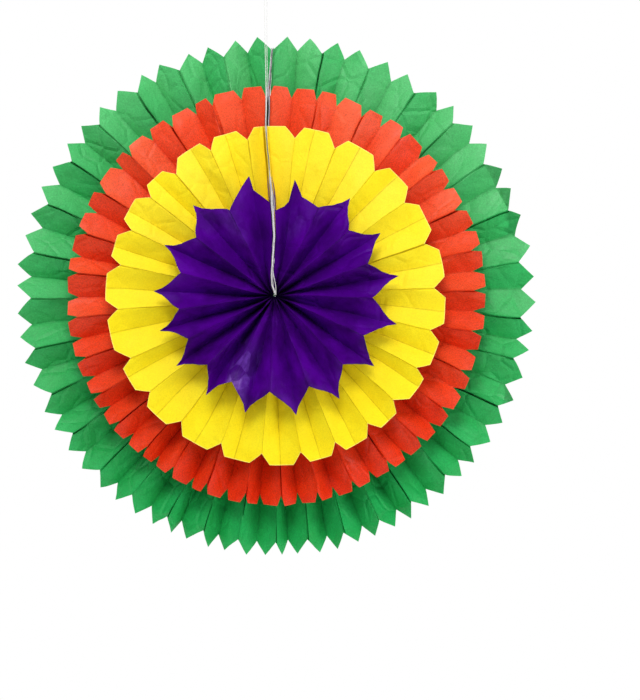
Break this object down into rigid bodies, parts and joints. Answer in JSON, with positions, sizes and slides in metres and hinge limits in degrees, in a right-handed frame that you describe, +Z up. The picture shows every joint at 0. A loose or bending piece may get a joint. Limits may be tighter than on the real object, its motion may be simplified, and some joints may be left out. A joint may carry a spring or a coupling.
{
  "type": "layered paper fan flower",
  "caption": "Round hanging paper flower of pleated paper fans stacked from large to small, with cut rims, end cards in a seam and a thread loop to hang it by.",
  "frame": {"origin": "on the axis of the fans, at the middle of their stack", "axes": "-Y is the front of the flower, +Z runs up along the seam to the hanging loop"},
  "size_m": [0.3996, 0.0981, 0.4322],
  "materials": {
    "purple_paper": "thin waxed tissue paper, slightly glossy, creased",
    "yellow_paper": "matt tissue paper, creased",
    "red_paper": "matt tissue paper, creased",
    "green_paper": "matt tissue paper, creased",
    "end_card": "plain white card",
    "thread": "twisted white cotton thread"
  },
  "bodies": {
    "root": {"purple_fan": "purple_paper", "purple_card_left": "end_card", "purple_card_right": "end_card", "yellow_fan": "yellow_paper", "yellow_card_left": "end_card", "yellow_card_right": "end_card", "red_fan": "red_paper", "red_card_left": "end_card", "red_card_right": "end_card", "green_fan": "green_paper", "green_card_left": "end_card", "green_card_right": "end_card", "hanging_thread": "thread", "hub_knot": "thread"}
  },
  "joints": []
}
